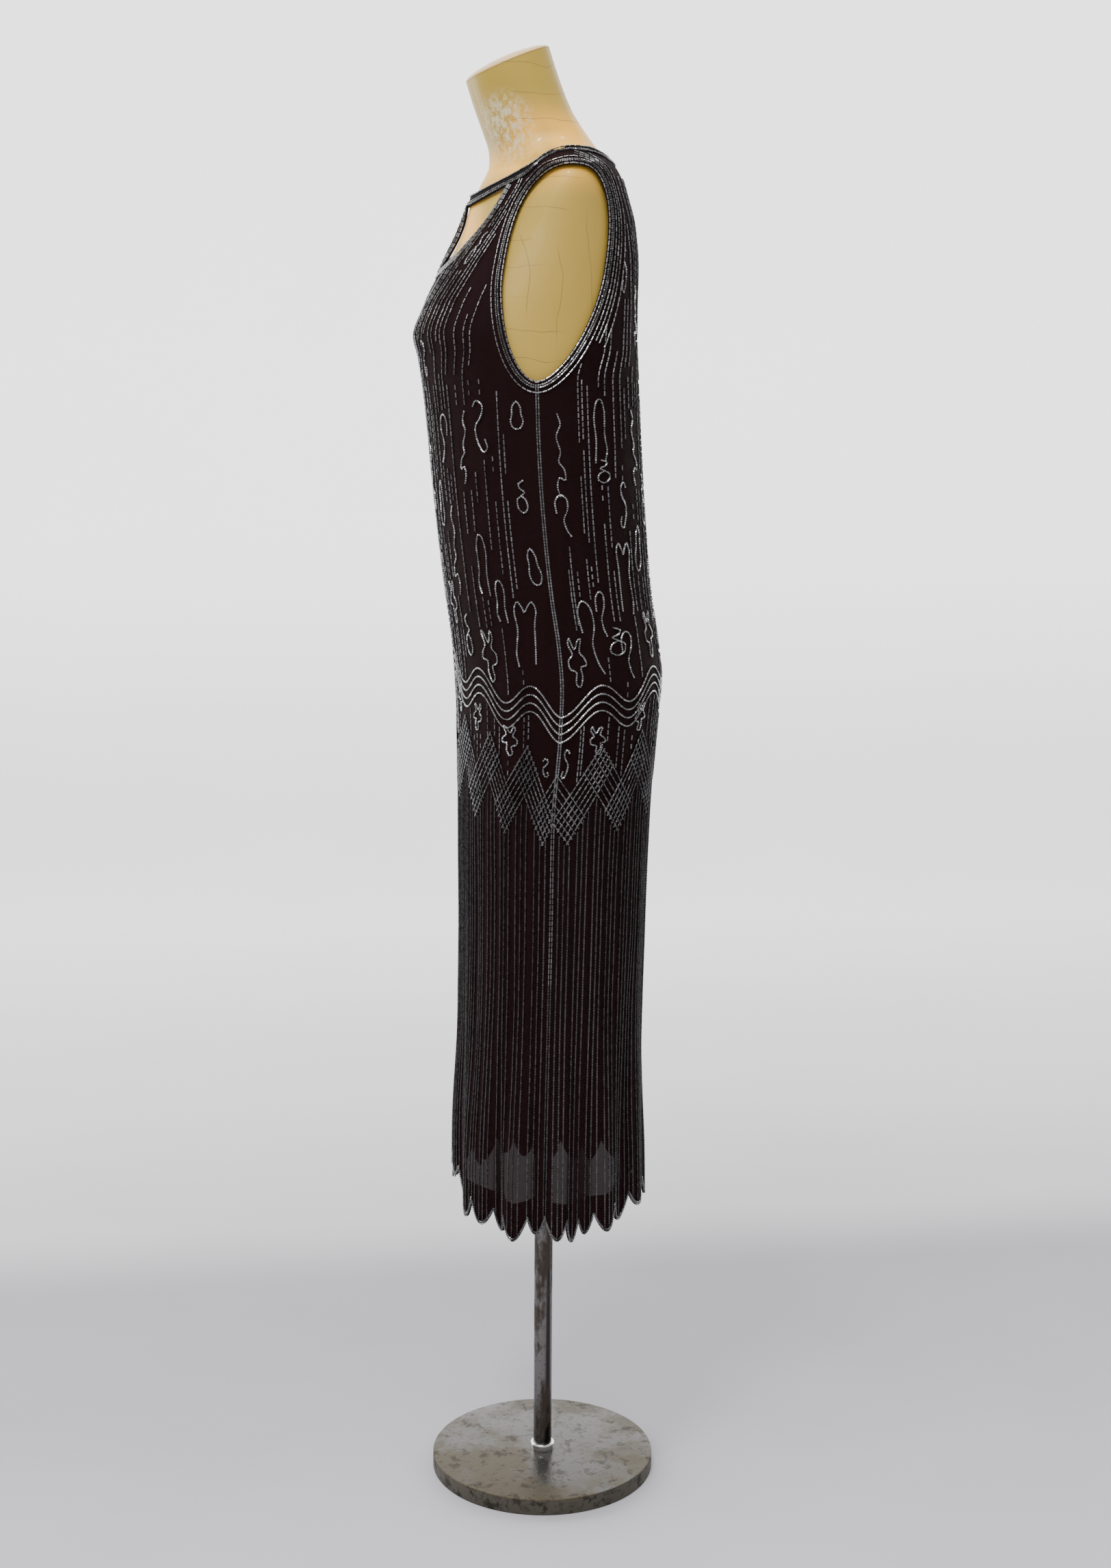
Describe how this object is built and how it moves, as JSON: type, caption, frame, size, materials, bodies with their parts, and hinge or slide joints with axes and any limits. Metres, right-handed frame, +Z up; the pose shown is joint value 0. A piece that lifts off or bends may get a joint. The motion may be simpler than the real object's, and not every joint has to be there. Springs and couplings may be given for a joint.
{
  "type": "flapper dress on a dress form",
  "caption": "Sleeveless beaded flapper dress with a petal hem, on a limbless dress form that stands on a pole and a round base.",
  "frame": {"origin": "centre of the base's underside, on the floor", "axes": "+Z up, the dress's front faces -Y, the wearer's left is +X"},
  "size_m": [0.336, 0.299, 1.7452],
  "materials": {
    "beaded_chiffon": "sheer dark wine chiffon, sewn with gunmetal glass beads",
    "hem_facing": "matt black silk",
    "bead_band": "dark cloth under dense gunmetal beads",
    "form_lacquer": "glossy aged ochre lacquer with fine cracks over papier-mache",
    "pole_metal": "worn plated tube with rust spots",
    "collar_chrome": "bright chrome",
    "base_steel": "worn plated steel with olive-brown stains"
  },
  "bodies": {
    "root": {"dress_front": "beaded_chiffon", "dress_back": "beaded_chiffon", "hem_facing_front": "hem_facing", "hem_facing_back": "hem_facing", "neck_band": "bead_band", "centre_strap": "bead_band", "form_torso": "form_lacquer", "stand_pole": "pole_metal", "stand_collar": "collar_chrome", "stand_base": "base_steel"}
  },
  "joints": []
}
